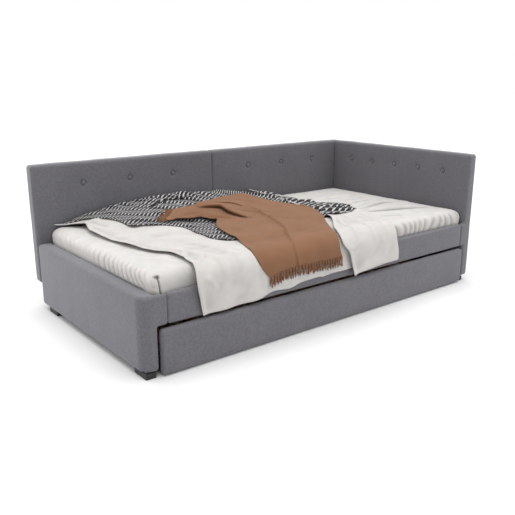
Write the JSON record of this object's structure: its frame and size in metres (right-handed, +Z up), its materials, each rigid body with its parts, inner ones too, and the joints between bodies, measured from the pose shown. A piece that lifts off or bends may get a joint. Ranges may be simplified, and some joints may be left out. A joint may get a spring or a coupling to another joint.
{
  "type": "trundle bed",
  "caption": "Upholstered corner daybed with a high back and one high end, button tufts, mattress and bedding, over a low trundle unit that rolls out from the front.",
  "frame": {"origin": "on the floor, under the centre of the bed's outer box", "axes": "+X from the low footboard to the high headboard, +Y from the open front to the back panels, +Z up"},
  "size_m": [2.046, 1.0944, 0.7],
  "materials": {
    "upholstery": "fine grey velvet-like weave, matt",
    "plywood": "raw board",
    "pine": "planed, unfinished",
    "black_plastic": "matt",
    "zinc_steel": "zinc plated",
    "wheel_plastic": "moulded",
    "ticking": "quilted ticking",
    "sheet_cotton": "cotton sheet",
    "duvet_cotton": "soft cotton",
    "houndstooth_wool": "black and white broken check weave",
    "brown_wool": "woven wool with a fringe"
  },
  "bodies": {
    "bed": {"footboard_cover": "upholstery", "headboard_cover": "upholstery", "back_panel_left_cover": "upholstery", "back_panel_right_cover": "upholstery", "front_rail_cover": "upholstery", "tuft_button_back_left_1": "upholstery", "tuft_button_back_left_2": "upholstery", "tuft_button_back_left_3": "upholstery", "tuft_button_back_right_1": "upholstery", "tuft_button_back_right_2": "upholstery", "tuft_button_back_right_3": "upholstery", "tuft_button_head_1": "upholstery", "tuft_button_head_2": "upholstery", "tuft_button_head_3": "upholstery", "tuft_button_head_4": "upholstery", "tuft_button_head_5": "upholstery", "footboard_core": "plywood", "headboard_core": "plywood", "back_panel_left_core": "plywood", "back_panel_right_core": "plywood", "front_rail_core": "plywood", "footboard_cleat": "pine", "headboard_cleat": "pine", "front_ledger": "pine", "back_ledger": "pine", "bed_slat_roll": "pine", "foot_front_left": "black_plastic", "foot_back_left": "black_plastic", "foot_front_right": "black_plastic", "foot_back_right": "black_plastic", "corner_bracket_front_left": "zinc_steel", "corner_bracket_front_right": "zinc_steel", "corner_bracket_back_right": "zinc_steel", "corner_bracket_back_left": "zinc_steel", "back_joining_plate": "zinc_steel", "mattress": "ticking", "fitted_sheet": "sheet_cotton", "duvet": "duvet_cotton", "houndstooth_throw": "houndstooth_wool", "brown_throw": "brown_wool"},
    "trundle": {"trundle_front_cover": "upholstery", "trundle_front_core": "plywood", "trundle_side_rail_left": "pine", "trundle_side_rail_right": "pine", "trundle_rear_rail": "pine", "trundle_front_ledger": "pine", "trundle_rear_ledger": "pine", "trundle_slat_roll": "pine", "trundle_fork_front_left": "zinc_steel", "trundle_fork_rear_left": "zinc_steel", "trundle_fork_front_right": "zinc_steel", "trundle_fork_rear_right": "zinc_steel", "trundle_axle_front_left": "zinc_steel", "trundle_axle_rear_left": "zinc_steel", "trundle_axle_front_right": "zinc_steel", "trundle_axle_rear_right": "zinc_steel"},
    "wheel_front_left": {"trundle_wheel_front_left": "wheel_plastic"},
    "wheel_rear_left": {"trundle_wheel_rear_left": "wheel_plastic"},
    "wheel_front_right": {"trundle_wheel_front_right": "wheel_plastic"},
    "wheel_rear_right": {"trundle_wheel_rear_right": "wheel_plastic"}
  },
  "joints": [
    {"name": "trundle_slide", "type": "slide", "parent": "bed", "child": "trundle", "axis": [0, -1, 0], "range_m": [0, 1]},
    {"name": "wheel_spin_front_left", "type": "hinge", "parent": "trundle", "child": "wheel_front_left", "pos_m": [-0.91, -0.39315, 0.025], "axis": [1, 0, 0], "continuous": true},
    {"name": "wheel_spin_rear_left", "type": "hinge", "parent": "trundle", "child": "wheel_rear_left", "pos_m": [-0.91, 0.34885, 0.025], "axis": [1, 0, 0], "continuous": true},
    {"name": "wheel_spin_front_right", "type": "hinge", "parent": "trundle", "child": "wheel_front_right", "pos_m": [0.911, -0.39315, 0.025], "axis": [1, 0, 0], "continuous": true},
    {"name": "wheel_spin_rear_right", "type": "hinge", "parent": "trundle", "child": "wheel_rear_right", "pos_m": [0.911, 0.34885, 0.025], "axis": [1, 0, 0], "continuous": true}
  ],
  "couplings": [
    {"joint": "wheel_spin_front_left", "follows": "trundle_slide", "rad_per_m": 40},
    {"joint": "wheel_spin_rear_left", "follows": "trundle_slide", "rad_per_m": 40},
    {"joint": "wheel_spin_front_right", "follows": "trundle_slide", "rad_per_m": 40},
    {"joint": "wheel_spin_rear_right", "follows": "trundle_slide", "rad_per_m": 40}
  ]
}
